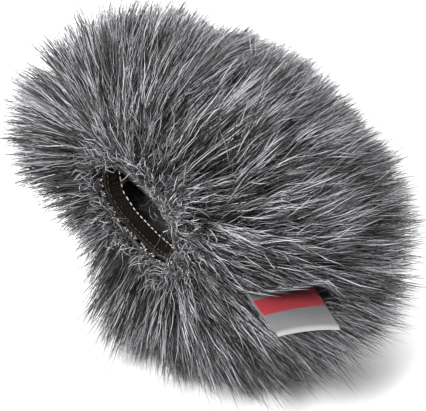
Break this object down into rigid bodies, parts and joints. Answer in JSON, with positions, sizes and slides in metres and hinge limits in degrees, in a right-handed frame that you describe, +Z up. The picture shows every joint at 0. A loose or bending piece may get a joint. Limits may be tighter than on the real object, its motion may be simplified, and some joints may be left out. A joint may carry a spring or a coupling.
{
  "type": "furry windscreen",
  "caption": "Soft long-pile slip-over bag with an elastic mouth that shields a pocket recorder's microphones from wind noise.",
  "frame": {"origin": "under the middle of the bag, on the surface that it lies on", "axes": "+Z up, the mouth faces -Y, the closed crown faces +Y, the side seam with the label is at +X"},
  "size_m": [0.1678, 0.0999, 0.108],
  "materials": {
    "pile_fur": "long shaggy acrylic pile, grey, darker at the roots",
    "knit_ground": "warp-knit ground of the fur fabric",
    "slick_lining": "slick woven lining with a slight sheen",
    "binding_tape": "narrow folded tape, matt black",
    "elastic": "ribbed woven elastic, matt black",
    "pale_thread": "polyester thread, off-white",
    "dark_thread": "polyester thread, black",
    "ribbon": "satin ribbon, grey, with a plain red woven band"
  },
  "bodies": {
    "cover": {"upper_pile": "pile_fur", "lower_pile": "pile_fur", "upper_backing": "knit_ground", "lower_backing": "knit_ground", "upper_lining": "slick_lining", "lower_lining": "slick_lining", "seam_binding": "binding_tape", "binding_stitches": "pale_thread", "mouth_hem": "binding_tape", "mouth_elastic": "elastic", "front_hem_stitches": "dark_thread", "rear_hem_stitches": "pale_thread", "mouth_overlock_stitches": "pale_thread", "label_tail": "ribbon", "label_tack_stitches": "dark_thread"},
    "label": {"label_ribbon": "ribbon"}
  },
  "joints": [
    {"name": "label_flap", "type": "hinge", "parent": "cover", "child": "label", "pos_m": [0.0546, -0.014, 0.051], "axis": [-0.1392, -0.9903, 0], "range_deg": [-15, 30]}
  ]
}
